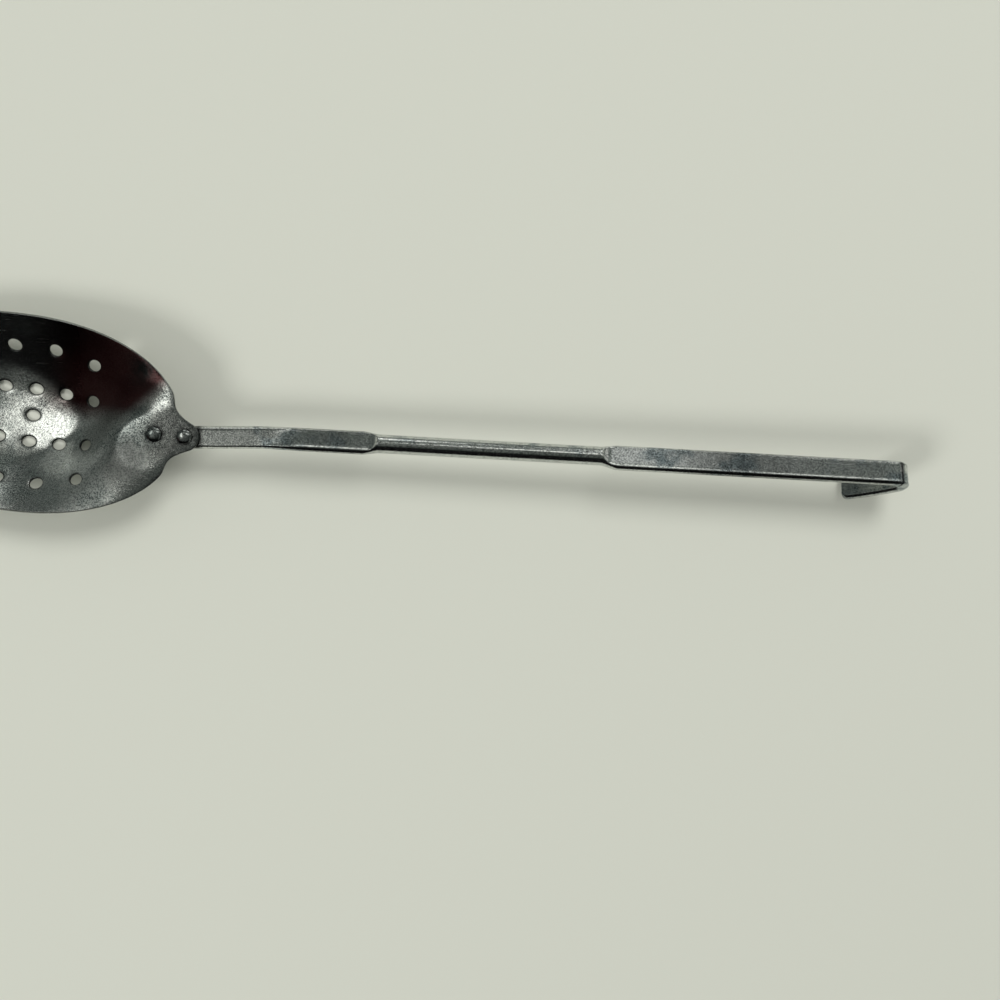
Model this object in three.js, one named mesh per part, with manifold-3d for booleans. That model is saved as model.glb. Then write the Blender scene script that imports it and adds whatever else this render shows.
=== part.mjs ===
// A perforated serving spoon: a pressed sheet bowl held by two rivets to a steel bar handle.
// Millimetres, +Z up. The handle runs along +X from the bowl to the hook, and the spoon lies on its
// back as on a table, with the bottom of the bowl and the end of the hook at z = 0.

import * as THREE from 'three';
import { LoftGeometry } from 'three/addons/geometries/LoftGeometry.js';
import { mergeVertices } from 'three/addons/utils/BufferGeometryUtils.js';
import Module from 'manifold-3d';

// Bowl sheet. In the bowl's own frame u runs along it towards the handle, v across it,
// and the origin is under the middle of the bowl.
const sheetThickness = 0.9;
const bowlHalfLength = 51.2;
const bowlHalfWidth = 29.7;
const ovalPower = 2.15; // 2 would be a plain ellipse
const bowlDepth = 14.5; // inside, below the level of the tongue
const sideDip = 3; // the rim is this much lower beside the middle than at the ends
const alongPower = 2.6; // how flat the bottom is along the bowl
const acrossPower = 2.8; // and across it

// Wall that climbs from the bottom of the bowl to the tongue. Its foot curves back beside the
// axis, and its top spreads out on both sides of the front rivet.
const wallLength = 15.6;
const wallPower = 1.9;
const footCurve = 0.15;
const footReach = 20;
const noseSpread = 0.75;
const noseRoundness = 2.2;
const foldSoftness = 4; // of the fold between the wall and the tongue
const foldLift = 3; // keeps that fold off the foot of the wall
const wallOvershoot = 1.5; // beyond its top the wall still climbs, but under the fold
const overshootRise = 10;

// Tongue, the flat end of the bowl sheet that lies on the handle
const tongueReach = 5.7; // beyond the oval
const tongueEndRadius = 4.4;
const tongueArcEnd = 66 * Math.PI / 180;
const neckPull = 9; // how deep the hollow beside the tongue is
const shoulderHalfWidth = 13.5; // where the hollow meets the oval

// Drain holes, in a pattern that is alike on both sides of the bowl
const holeLength = 4.3;
const holeWidth = 3.2;
const innerRowCount = 5;
const innerRowSpacing = 9.8;
const innerRowOffset = 8.3;
const innerRowSag = 0.0038; // how the row bends towards the middle, per millimetre squared
const outerRowCount = 4;
const outerRowSpacing = 13.4;
const outerRowOffset = 21.1;
const outerRowSag = 0.0085;

// Rivets
const rivetSpacing = 9.2;
const frontRivetSide = -0.6; // the front rivet sits this far off the middle of the tongue
const rivetHeadRadius = 2.35;
const rivetHeadHeight = 1.1;
const rivetTailRadius = 2.1;
const rivetTailHeight = 0.8;
const rivetShankRadius = 1.3;
const rivetClearance = 0.3;
const noseMargin = 13.7; // from the front rivet to the top of the wall

// Handle, one round bar pressed flat at both ends. Lengths run from the kink beside the tongue.
// A roundness is the height that the bar would have there if it weren't cut flat above and below.
const rodDiameter = 5.7;
const tongueBarWidth = 6.9; // under the tongue
const neckWidth = 7.5;
const neckThickness = 2.65;
const neckRoundness = 4.2;
const flatWidth = 7.8;
const flatThickness = 3;
const flatRoundness = 5;
const flatSide = -0.3; // the long flat is this far off the middle of the bar
const neckToKink = 19.5; // bare stretch between the tongue and the kink
const neckFlatEnd = 31.5;
const rodLength = 66.5;
const shoulderLength = 3.8;
const flatLength = 86;
const handleEndMargin = 2.6; // from the front rivet to the end of the bar
const handleEndCorner = 1;
const seatMargin = 0.3; // the tongue is flat this far around the bar

// The bar is bent sideways and twisted a little at the kink, and the bowl sits at an angle on it.
const kinkAngle = 3 * Math.PI / 180;
const bowlTurn = 8.2 * Math.PI / 180;
const handleTwist = 20 * Math.PI / 180;
const twistStart = -4;
const twistEnd = 12;

// Hook, the bent back end of the bar
const bendRadius = 2.8; // to the middle of the bar
const bendTurn = 137 * Math.PI / 180;
const legTurn = 17 * Math.PI / 180; // further turn of the leg, spread over its length
const legLength = 17;
const legCorner = 1.6;

// Facets
const ringCount = 13;
const tongueArcSteps = 4;
const neckSteps = 6;
const ovalSteps = 20;
const holeSegments = 8;
const barSideSteps = 6;
const bendSteps = 8;
const legSteps = 4;
const rivetSegments = 16;
const domeSteps = 3;
const straightSteps = 3;
const cornerSteps = 2;
const slopeStep = 0.05; // for measuring the slope of the bowl
const angleStep = 0.01; // for measuring the direction of the outline
const mergeDistance = 1e-5;

// Places that follow from the sizes above
const tongueEnd = bowlHalfLength + tongueReach;
const rearRivetU = tongueEnd - tongueEndRadius;
const frontRivetU = rearRivetU - rivetSpacing;
const noseU = frontRivetU - noseMargin;
const wallFoot = noseU - wallLength;
const tongueTop = sheetThickness + bowlDepth;
const handleTop = tongueTop - sheetThickness;
const axisHeight = handleTop - neckThickness / 2;
const rearRivetX = -neckToKink - tongueEndRadius;
const frontRivetX = rearRivetX - rivetSpacing * Math.cos(bowlTurn);
const handleEndX = frontRivetX - handleEndMargin;
const rodStart = neckFlatEnd + shoulderLength;
const rodEnd = rodStart + rodLength;
const flatStart = rodEnd + shoulderLength;
const bendX = flatStart + flatLength;
const cornerShare = 1 - legCorner / legLength; // of the leg, where its end starts to round off

const wasm = await Module();
wasm.setup();

// Solids for cutting, and back. Triangles with two equal corners are left out: sections that
// shrink to a point make them.
function toSolid(geometry) {
  const bare = new THREE.BufferGeometry();
  bare.setAttribute('position', geometry.attributes.position);
  bare.setIndex(geometry.index);
  const merged = mergeVertices(bare, mergeDistance);
  const triangles = [];
  for (let i = 0; i < merged.index.count; i += 3) {
    const corners = Array.from(merged.index.array.slice(i, i + 3));
    if (new Set(corners).size === 3) {
      triangles.push(...corners);
    }
  }
  return new wasm.Manifold(new wasm.Mesh({
    numProp: 3,
    vertProperties: new Float32Array(merged.attributes.position.array),
    triVerts: new Uint32Array(triangles),
  }));
}

function toGeometry(solid) {
  const mesh = solid.getMesh();
  const geometry = new THREE.BufferGeometry();
  geometry.setAttribute('position', new THREE.BufferAttribute(mesh.vertProperties, 3));
  geometry.setIndex(new THREE.BufferAttribute(mesh.triVerts, 1));
  return geometry;
}

function cutAll(geometry, cutters) {
  let solid = toSolid(geometry);
  for (const cutter of cutters) {
    solid = solid.subtract(toSolid(cutter));
  }
  return toGeometry(solid);
}

function smoothStep(value) {
  const t = THREE.MathUtils.clamp(value, 0, 1);
  return t * t * (3 - 2 * t);
}

// The lower of two values, with a rounded change from one to the other
function softMin(first, second, softness) {
  const share = THREE.MathUtils.clamp(0.5 + (second - first) / (2 * softness), 0, 1);
  return THREE.MathUtils.lerp(second, first, share) - softness * share * (1 - share);
}

// Half of the bowl's outline, from the end of the tongue to the tip of the bowl
function halfOutline() {
  const points = [];
  for (let i = 0; i < tongueArcSteps; i++) {
    const angle = tongueArcEnd * i / tongueArcSteps;
    points.push(new THREE.Vector2(
      rearRivetU + tongueEndRadius * Math.cos(angle),
      tongueEndRadius * Math.sin(angle),
    ));
  }

  const arcEnd = new THREE.Vector2(
    rearRivetU + tongueEndRadius * Math.cos(tongueArcEnd),
    tongueEndRadius * Math.sin(tongueArcEnd),
  );
  const shoulderAngle = Math.asin(Math.pow(shoulderHalfWidth / bowlHalfWidth, ovalPower / 2));
  const shoulder = ovalPoint(shoulderAngle);
  const arcTangent = new THREE.Vector2(-Math.sin(tongueArcEnd), Math.cos(tongueArcEnd));
  const shoulderTangent = ovalPoint(shoulderAngle + angleStep).sub(shoulder).normalize();
  const neck = new THREE.CubicBezierCurve(
    arcEnd,
    arcEnd.clone().addScaledVector(arcTangent, neckPull),
    shoulder.clone().addScaledVector(shoulderTangent, -neckPull / 2),
    shoulder,
  );
  points.push(...neck.getPoints(neckSteps));

  for (let i = 1; i <= ovalSteps; i++) {
    points.push(ovalPoint(shoulderAngle + (Math.PI - shoulderAngle) * i / ovalSteps));
  }
  return points;
}

function ovalPoint(angle) {
  const c = Math.cos(angle);
  const s = Math.sin(angle);
  return new THREE.Vector2(
    bowlHalfLength * Math.sign(c) * Math.pow(Math.abs(c), 2 / ovalPower),
    bowlHalfWidth * Math.pow(Math.max(s, 0), 2 / ovalPower),
  );
}

function bowlOutline() {
  const half = halfOutline();
  const mirrored = half.slice(1, -1).reverse().map((p) => new THREE.Vector2(p.x, -p.y));
  return [...half, ...mirrored];
}

// Height of the bowl's inner face above its outer bottom
function innerHeight(u, v) {
  const alongRise = bowlDepth * Math.pow(Math.abs(u) / bowlHalfLength, alongPower);
  const acrossRise = (bowlDepth - sideDip) * Math.pow(Math.abs(v) / bowlHalfWidth, acrossPower);
  const cup = sheetThickness + alongRise + acrossRise;
  const foot = wallFoot - footCurve * v * v / (1 + (v / footReach) ** 2);
  const top = noseU + noseSpread * Math.hypot(v, noseRoundness);
  const run = THREE.MathUtils.clamp((u - foot) / (top - foot), 0, wallOvershoot);
  const climb = Math.max(tongueTop - cup, 0) * Math.pow(run, wallPower);
  const wall = cup + climb + overshootRise * Math.max(run - 1, 0);
  const fold = tongueTop + foldLift * (1 - smoothStep(run));
  return softMin(wall, fold, foldSoftness);
}

function innerPoint(u, v) {
  return new THREE.Vector3(u, v, innerHeight(u, v));
}

// The outer face lies one sheet thickness behind the inner face, square to it
function outerPoint(u, v) {
  const riseU = innerHeight(u + slopeStep, v) - innerHeight(u - slopeStep, v);
  const riseV = innerHeight(u, v + slopeStep) - innerHeight(u, v - slopeStep);
  const normal = new THREE.Vector3(-riseU, -riseV, 2 * slopeStep).normalize();
  return innerPoint(u, v).addScaledVector(normal, -sheetThickness);
}

function sheetGeometry() {
  const outline = bowlOutline();
  const sizes = [];
  for (let i = 0; i <= ringCount; i++) {
    sizes.push(i / ringCount);
  }
  const inner = sizes.map((size) => outline.map((p) => innerPoint(p.x * size, p.y * size)));
  const outer = sizes.map((size) => outline.map((p) => outerPoint(p.x * size, p.y * size)));
  return new LoftGeometry([...outer, ...inner.reverse()]);
}

// Places of the drain holes: one in the middle, and an inner and an outer row on each side
function rowPlaces(count, spacing, offset, sag) {
  const places = [];
  for (let i = 0; i < count; i++) {
    const u = (i - (count - 1) / 2) * spacing;
    const v = offset - sag * u * u;
    places.push([u, v], [u, -v]);
  }
  return places;
}

function drainHole([u, v]) {
  const outline = new THREE.Shape();
  outline.absellipse(0, 0, holeLength / 2, holeWidth / 2, 0, 2 * Math.PI);
  const height = 2 * tongueTop;
  const hole = new THREE.ExtrudeGeometry(outline, {
    depth: height,
    bevelEnabled: false,
    curveSegments: holeSegments,
  });
  hole.translate(u, v, -height / 2);
  return hole;
}

function rivetHole(x, y) {
  const height = 2 * tongueTop;
  const hole = new THREE.CylinderGeometry(
    rivetShankRadius + rivetClearance,
    rivetShankRadius + rivetClearance,
    height,
    rivetSegments,
  );
  hole.rotateX(Math.PI / 2);
  hole.translate(x, y, tongueTop / 2);
  return hole;
}

// Room for the end of the bar, so that the tongue lies flat on it
function barSeat() {
  const from = handleEndX - seatMargin - rearRivetX;
  const to = tongueEndRadius;
  const seat = new THREE.BoxGeometry(to - from, tongueBarWidth + 2 * seatMargin, neckThickness);
  seat.translate((from + to) / 2, 0, axisHeight);
  seat.rotateZ(bowlTurn);
  seat.translate(rearRivetU, 0, 0);
  return seat;
}

function bowlGeometry() {
  const places = [
    [0, 0],
    ...rowPlaces(innerRowCount, innerRowSpacing, innerRowOffset, innerRowSag),
    ...rowPlaces(outerRowCount, outerRowSpacing, outerRowOffset, outerRowSag),
  ];
  const cutters = places.map(drainHole);
  cutters.push(barSeat(), rivetHole(rearRivetU, 0), rivetHole(frontRivetU, frontRivetSide));
  return cutAll(sheetGeometry(), cutters);
}

// Middle of the bar at a share of the leg, and how far the bar has turned there
function legPoint(share) {
  const start = {
    x: bendX + bendRadius * Math.sin(bendTurn),
    up: -bendRadius * (1 - Math.cos(bendTurn)),
  };
  const curve = legLength / legTurn;
  const turn = bendTurn + legTurn * share;
  return {
    x: start.x + curve * (Math.sin(turn) - Math.sin(bendTurn)),
    up: start.up + curve * (Math.cos(turn) - Math.cos(bendTurn)),
    turn,
  };
}

// Sections of the hook's leg, the last ones narrower where its end is rounded off
function legSections() {
  const sections = [];
  for (let i = 0; i <= legSteps; i++) {
    sections.push(longFlat(legPoint(cornerShare * i / legSteps)));
  }
  for (let i = 1; i <= cornerSteps; i++) {
    const angle = Math.PI / 2 * i / cornerSteps;
    sections.push({
      ...longFlat(legPoint(cornerShare + (1 - cornerShare) * Math.sin(angle))),
      width: flatWidth - 2 * legCorner * (1 - Math.cos(angle)),
    });
  }
  return sections;
}

function longFlat(place) {
  return {
    ...place,
    side: flatSide,
    width: flatWidth,
    thickness: flatThickness,
    roundness: flatRoundness,
  };
}

// The neck widens over the stretch where it twists
function neckFlat(x) {
  const share = smoothStep(x / twistEnd);
  return {
    x,
    width: THREE.MathUtils.lerp(tongueBarWidth, neckWidth, share),
    thickness: neckThickness,
    roundness: neckRoundness,
  };
}

function roundBar(x) {
  return { x, width: rodDiameter, thickness: rodDiameter, roundness: rodDiameter };
}

// A section halfway between two others, in size and in place
function between(first, second) {
  const middle = (key) => (first[key] + second[key]) / 2;
  return {
    x: middle('x'),
    side: ((first.side ?? 0) + (second.side ?? 0)) / 2,
    width: middle('width'),
    thickness: middle('thickness'),
    roundness: middle('roundness'),
  };
}

// One section of the bar while it is straight: an ellipse cut flat above and below
function barSection({ x, side = 0, up = 0, turn = 0, width, thickness, roundness }) {
  const limit = Math.asin(thickness / roundness);
  const points = [];
  for (const sign of [1, -1]) {
    for (let i = 0; i <= barSideSteps; i++) {
      const angle = limit * (2 * i / barSideSteps - 1);
      const raised = sign * roundness / 2 * Math.sin(angle);
      points.push(new THREE.Vector3(
        x + raised * Math.sin(turn),
        side + sign * width / 2 * Math.cos(angle),
        up + raised * Math.cos(turn),
      ));
    }
  }
  return points;
}

// How much the bar climbs when this point of the hook just reaches the table
function riseTo(point) {
  const drop = point.y * Math.sin(handleTwist) - point.z * Math.cos(handleTwist);
  return Math.atan((drop - axisHeight) / point.x);
}

const handleRise = Math.max(...legSections().flatMap(barSection).map(riseTo));

// From the straight bar to the real one, which is kinked, twisted and climbing
function placeOnBar(point) {
  const twist = handleTwist * smoothStep((point.x - twistStart) / (twistEnd - twistStart));
  const place = point.clone().applyAxisAngle(new THREE.Vector3(1, 0, 0), -twist);
  if (place.x < 0) {
    place.applyAxisAngle(new THREE.Vector3(0, 0, 1), kinkAngle);
  } else {
    place.z += place.x * Math.tan(handleRise);
  }
  place.z += axisHeight;
  return place;
}

// Places spread evenly along a straight stretch
function spread(from, to) {
  const places = [];
  for (let i = 0; i <= straightSteps; i++) {
    places.push(THREE.MathUtils.lerp(from, to, i / straightSteps));
  }
  return places;
}

function barGeometry() {
  const neckEnd = neckFlat(neckFlatEnd);
  const flatBeginning = longFlat({ x: flatStart });
  const sections = [
    { ...neckFlat(handleEndX), width: tongueBarWidth - 2 * handleEndCorner },
    ...spread(handleEndX + handleEndCorner, twistStart).map(neckFlat),
    ...spread(0, twistEnd).map(neckFlat),
    neckEnd,
    between(neckEnd, roundBar(rodStart)),
    ...spread(rodStart, rodEnd).map(roundBar),
    between(roundBar(rodEnd), flatBeginning),
    flatBeginning,
  ];
  for (let i = 0; i < bendSteps; i++) {
    const turn = bendTurn * i / bendSteps;
    sections.push(longFlat({
      x: bendX + bendRadius * Math.sin(turn),
      up: -bendRadius * (1 - Math.cos(turn)),
      turn,
    }));
  }
  sections.push(...legSections());
  const rings = sections.map((section) => barSection(section).map(placeOnBar));
  return new LoftGeometry(rings, { capStart: true, capEnd: true });
}

// A place on the bowl sheet, in the handle's frame
function onHandle(u, v) {
  const upAxis = new THREE.Vector3(0, 0, 1);
  const place = new THREE.Vector3(u - rearRivetU, v, 0);
  place.applyAxisAngle(upAxis, -bowlTurn);
  place.x += rearRivetX;
  return place.applyAxisAngle(upAxis, kinkAngle);
}

function handleGeometry() {
  const front = onHandle(frontRivetU, frontRivetSide);
  const rear = onHandle(rearRivetU, 0);
  return cutAll(barGeometry(), [rivetHole(front.x, front.y), rivetHole(rear.x, rear.y)]);
}

// A rivet with a domed head on the tongue and a flatter dome under the handle
function rivetGeometry() {
  const headSeat = tongueTop;
  const tailSeat = handleTop - neckThickness;
  const profile = [];
  for (let i = 0; i <= domeSteps; i++) {
    const angle = Math.PI / 2 * i / domeSteps;
    profile.push(new THREE.Vector2(
      rivetTailRadius * Math.sin(angle),
      tailSeat - rivetTailHeight * Math.cos(angle),
    ));
  }
  profile.push(new THREE.Vector2(rivetShankRadius, tailSeat));
  profile.push(new THREE.Vector2(rivetShankRadius, headSeat));
  for (let i = 0; i <= domeSteps; i++) {
    const angle = Math.PI / 2 * i / domeSteps;
    profile.push(new THREE.Vector2(
      rivetHeadRadius * Math.cos(angle),
      headSeat + rivetHeadHeight * Math.sin(angle),
    ));
  }
  profile[0].x = 0;
  profile[profile.length - 1].x = 0;
  const rivet = new THREE.LatheGeometry(profile, rivetSegments);
  rivet.rotateX(Math.PI / 2);
  return toGeometry(toSolid(rivet));
}

function steel(color, roughness) {
  return new THREE.MeshStandardMaterial({ color, roughness, metalness: 1 });
}

function named(name, geometry, material) {
  const mesh = new THREE.Mesh(geometry, material);
  mesh.name = name;
  return mesh;
}

const bowlGroup = new THREE.Group();
bowlGroup.position.set(rearRivetX, 0, 0);
bowlGroup.rotation.z = -bowlTurn;

const bowl = named('bowl', bowlGeometry(), steel('#9aa09c', 0.32));
const frontRivet = named('front_rivet', rivetGeometry(), steel('#8c918e', 0.3));
const rearRivet = named('rear_rivet', rivetGeometry(), steel('#8c918e', 0.3));
bowl.position.x = -rearRivetU;
frontRivet.position.set(frontRivetU - rearRivetU, frontRivetSide, 0);
bowlGroup.add(bowl, frontRivet, rearRivet);

const neckGroup = new THREE.Group();
neckGroup.rotation.z = kinkAngle;
neckGroup.add(bowlGroup);

const handle = named('handle', handleGeometry(), steel('#959b98', 0.3));

const spoon = new THREE.Group();
spoon.add(neckGroup, handle);
spoon.updateMatrixWorld(true);

// The origin is on the table, under the middle of the spoon
const extent = new THREE.Box3().setFromObject(spoon, true);
const middle = extent.getCenter(new THREE.Vector3());
spoon.position.set(-middle.x, -middle.y, -extent.min.z);

export default spoon;
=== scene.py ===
# A perforated serving spoon on a pale table, seen from straight above.
# Lengths are in millimetres until a mesh or an object is placed, and then in metres.

import math

import bpy
import numpy as np
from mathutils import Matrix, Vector
from mathutils.geometry import delaunay_2d_cdt


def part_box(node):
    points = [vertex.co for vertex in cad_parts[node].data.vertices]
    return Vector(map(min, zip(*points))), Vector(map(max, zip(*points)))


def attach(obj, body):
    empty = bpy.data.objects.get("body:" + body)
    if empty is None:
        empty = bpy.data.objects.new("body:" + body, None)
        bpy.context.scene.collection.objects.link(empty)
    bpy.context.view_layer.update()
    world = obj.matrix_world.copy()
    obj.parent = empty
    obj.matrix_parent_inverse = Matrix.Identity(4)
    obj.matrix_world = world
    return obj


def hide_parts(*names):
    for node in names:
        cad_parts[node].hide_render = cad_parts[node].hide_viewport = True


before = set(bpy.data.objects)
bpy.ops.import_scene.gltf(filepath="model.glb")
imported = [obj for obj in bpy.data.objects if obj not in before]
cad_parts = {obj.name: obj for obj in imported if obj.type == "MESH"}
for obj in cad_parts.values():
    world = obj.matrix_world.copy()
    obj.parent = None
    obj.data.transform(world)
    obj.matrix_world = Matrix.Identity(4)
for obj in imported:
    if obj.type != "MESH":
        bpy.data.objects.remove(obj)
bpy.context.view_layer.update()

MM = 0.001

# Bowl sheet, in the bowl's own frame: u along it towards the handle, v across it
SHEET = 0.9
BOWL_HALF_LENGTH = 51.2
BOWL_HALF_WIDTH = 29.7
OVAL_POWER = 2.15  # 2 would be a plain ellipse
BOWL_DEPTH = 14.5
SIDE_DIP = 3.0  # the rim is this much lower beside the middle than at the ends
CUP_POWER = 2.75  # how flat the bottom is

# Wall that climbs from the bottom of the bowl to the tongue, left and right of the bowl's axis
WALL_START = 14.0
WALL_SPREAD_REACH = 20.0
WALL_SPREAD_LEFT = 0.15  # the foot of the wall curves back this much beside the axis
WALL_SPREAD_RIGHT = 0.12
WALL_POWER = 1.9
RUN_LIMIT = 1.5  # the wall is followed this far past its top
ROOF_LIFT = 3.0  # keeps the fold off the foot of the wall
FOLD_SOFTNESS = 5.0  # of the fold between the wall and the flat tongue
NOSE_START = 29.0  # the top of the wall starts from here, and lies further out beside the axis
NOSE_SPREAD_LEFT = 1.0
NOSE_SPREAD_RIGHT = 0.15
NOSE_ROUNDNESS = 4.3
NOSE_SIDE_FADE = 12.0  # width of the change from the left side's sizes to the right side's
OVERSHOOT_RISE = 10.0  # the wall climbs on under the fold
TONGUE_LEFT_WIDTH = 6.0  # the top of the wall is level this far to the left of the axis
TONGUE_RIGHT_WIDTH = 2.0
TONGUE_FADE = 10.0
SHOULDER_LEFT_LIFT = 1.8  # beyond that it climbs this much higher
SHOULDER_RIGHT_LIFT = 1.0
NOSE_DROOP = 0.5  # the flat top curves down this much towards the wall
DROOP_LENGTH = 9.0
DROOP_LIMIT = 1.4

# Tongue, the flat end of the bowl that lies on the handle
TONGUE_REACH = 5.7
TONGUE_END_RADIUS = 4.4
TONGUE_ARC_END = math.radians(66)
NECK_PULL = 9.0  # how deep the hollow beside the tongue is
SHOULDER_HALF_WIDTH = 13.5  # where the hollow meets the oval
RIM_ROUNDING = 0.25

# Wear, painted shade, a painted dark reflection and unevenness of the bowl
WORN_PLACE = 51.0  # the plating is worn darker round the rivets
WORN_LENGTH = 12.0
WORN_WIDTH = 9.0
WORN_STRENGTH = 0.7
DARK_REFLECTION_LEFT = -8.0  # a painted dark reddish reflection lies across the wall on the left of the axis
DARK_REFLECTION_LENGTH = 24.0
DARK_REFLECTION_RIGHT = 34.0
DARK_REFLECTION_START = -1.0
DARK_REFLECTION_FADE = 8.0
DARK_REFLECTION_SPOT = (37.2, 18.2)  # the painted dark reflection is darkest here, beside the rim
DARK_REFLECTION_SPOT_REACH = 5.5
STRETCHED_PLACE = 24.0  # the steep wall is duller than the rest
STRETCHED_LENGTH = 9.0
# The first spot's darkness is painted shade that dims a highlight there; the second has none
DULL_SPOTS = ((36.0, -9.0, 7.0, 0.45), (10.5, -12.5, 5.0, 0.0))  # place, reach and darkness
WAVE_HEIGHT = 0.05  # of the unevenness of the pressed sheet
WAVE_LENGTH = 17.0
WAVE_COUNT = 5
WAVE_TURN = 2.4  # radians from one wave to the next
WAVE_STRETCH = 0.37  # each wave is longer than the last by this share
WAVE_SEED = 1.3
FLOOR_LIFT = 0.1  # keeps the lowest of the unevenness on the table

# Drain holes
HOLE_LENGTH = 4.3
HOLE_WIDTH = 3.2
INNER_ROW = {"count": 5, "spacing": 9.8, "offset": 8.3, "sag": 0.0038}
OUTER_ROW = {"count": 4, "spacing": 13.4, "offset": 21.1, "sag": 0.0085}
HOLE_ROUNDING = 0.3
HOLE_SINK = 0.16  # the punch draws the sheet down this far at the edge
HOLE_SINK_REACH = 0.5
# Dark rings round the drain holes: partly grime, partly painted shadow and painted dark reflection on
# the holes' rounded lips
HOLE_DIRT_AND_SHADE = 0.95
HOLE_DIRT_AND_SHADE_REACH = 0.36

# Mesh of the bowl
OUTLINE_SPACING = 0.6
GRID_SPACING = 0.8
GRID_MARGIN = 0.75  # the grid keeps this far off every edge
HOLE_POINTS = 44
HOLE_RING_GAP = 0.35
EDGE_STEPS = 4
TONGUE_ARC_POINTS = 24
NECK_POINTS = 60
OVAL_POINTS = 600
ANGLE_STEP = 0.01  # for measuring the direction of the outline
SLOPE_STEP = 0.05  # for measuring the slope of the bowl
MERGE_DISTANCE = 1e-5
INSIDE_ONLY = 1  # makes the triangulation keep what lies inside the rim
FAR = 99.0

# Rivets
RIVET_SPACING = 9.2
FRONT_RIVET_SIDE = -0.6
HEAD_RADIUS = 2.35
HEAD_HEIGHT = 1.1
TAIL_RADIUS = 2.1
TAIL_HEIGHT = 0.8
SHANK_RADIUS = 1.3
SHANK_CLEARANCE = 0.3
DOME_POWER = 2.4  # how square the dome's profile is
# Painted shade in a ring where each rivet head meets the tongue, on the bowl round it and on the foot
# of the head
RIVET_RING_SHADE_REACH = 0.95
RIVET_EDGE_SHADE = 0.65
RIVET_SEGMENTS = 64
HEAD_STEPS = 18
TAIL_STEPS = 14

# Handle, with lengths from the kink beside the tongue
ROD_DIAMETER = 5.7
TONGUE_BAR_WIDTH = 6.9
NECK_WIDTH = 7.5
NECK_THICKNESS = 2.65
NECK_ROUNDNESS = 4.2
FLAT_WIDTH = 7.8
FLAT_THICKNESS = 3.0
FLAT_ROUNDNESS = 5.0
FLAT_SIDE = -0.3
NECK_TO_KINK = 19.5
NECK_FLAT_END = 31.5
ROD_LENGTH = 66.5
SHOULDER_LENGTH = 3.8
SHOULDER_BLEND = 2.0  # the width starts to change this far off a shoulder
RAMP_LENGTH = 3.1  # of the curved end of a pressed flat
FLAT_LENGTH = 86.0
BAR_END_MARGIN = 2.6  # bar beyond the front rivet
BAR_END_CORNER = 1.0
BAR_END_THINNING = 0.2
CREASE_SOFTNESS = 0.16
LIP_HEIGHT = 0.14  # the pressed flats rise a little along their edges
LIP_POWER = 7
LIP_LIMIT = 1.1
# Middle, half length and strength of the stretches painted darker
DARKER_STRETCHES = ((21.0, 12.0, 0.45), (146.0, 20.0, 0.6), (178.0, 14.0, 0.35))
# Painted shadow in the gap under the end of the tongue, on the bar
TONGUE_GAP_SHADOW = 0.9
TONGUE_GAP_SHADOW_REACH = 0.5
BEND_SHADE_TURN = 0.35  # a band of painted shade runs across the bend of the hook here, in radians
BEND_SHADE_WIDTH = 0.1
FACE_DULLNESS = 0.15  # the pressed faces are duller than their rounded edges
FACE_FADE = 0.4  # height over which a pressed face turns into its edge
WANDER_LENGTHS = (5.3, 2.9, 11.7)  # of the slow unevenness along the bar
WANDER_HEIGHT = 0.02
RING_POINTS = 112
BAR_END_STEPS = 6
COARSE_STEP = 0.9
FINE_STEP = 0.2  # near a shoulder
FINE_REACH = 5.0

KINK = math.radians(3)
BOWL_TURN = math.radians(8.2)
TWIST = math.radians(20)
TWIST_START = -4.0
TWIST_END = 12.0

# Hook
BEND_RADIUS = 2.8
BEND_TURN = math.radians(137)
LEG_TURN = math.radians(17)
LEG_LENGTH = 17.0
LEG_CORNER = 1.6
LEG_END_THINNING = 0.25
BEND_STEPS = 48
LEG_STEPS = 24
LEG_END_STEPS = 12

# The photograph's view: straight down from this height, on its frame of 1000 by 1000 pixels
CAMERA_HEIGHT = 348.0
CAMERA_TURN = math.radians(3.2)
FOCAL_PIXELS = 1100.0
FRAME_PIXELS = 1000.0
KINK_PIXEL_X = 265.0
KINK_PIXEL_Y = 437.5
SENSOR_WIDTH = 36.0

# Stage, in metres
TABLE_HALF_SIZE = 3.0

# Places that follow
TONGUE_END = BOWL_HALF_LENGTH + TONGUE_REACH
REAR_RIVET_U = TONGUE_END - TONGUE_END_RADIUS
FRONT_RIVET_U = REAR_RIVET_U - RIVET_SPACING
TONGUE_TOP = SHEET + BOWL_DEPTH
HANDLE_TOP = TONGUE_TOP - SHEET
AXIS_HEIGHT = HANDLE_TOP - NECK_THICKNESS / 2
REAR_RIVET_X = -NECK_TO_KINK - TONGUE_END_RADIUS
BAR_END_X = REAR_RIVET_X - RIVET_SPACING * math.cos(BOWL_TURN) - BAR_END_MARGIN
ROD_START = NECK_FLAT_END + SHOULDER_LENGTH
ROD_END = ROD_START + ROD_LENGTH
FLAT_START = ROD_END + SHOULDER_LENGTH
BEND_X = FLAT_START + FLAT_LENGTH
LEG_CORNER_SHARE = 1 - LEG_CORNER / LEG_LENGTH


def box_middle(node):
    low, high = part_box(node)
    return (Vector(low) + Vector(high)) / 2 / MM


rear_rivet_place = box_middle("rear_rivet")
kink_place = Vector((
    rear_rivet_place.x - REAR_RIVET_X * math.cos(KINK),
    rear_rivet_place.y - REAR_RIVET_X * math.sin(KINK),
))


# Small helpers on arrays

def smooth_step(value):
    t = np.clip(value, 0, 1)
    return t * t * (3 - 2 * t)


def mix(a, b, share):
    return a + (b - a) * share


def soft_min(a, b, softness):
    share = np.clip(0.5 + 0.5 * (b - a) / softness, 0, 1)
    return b + (a - b) * share - softness * share * (1 - share)


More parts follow.
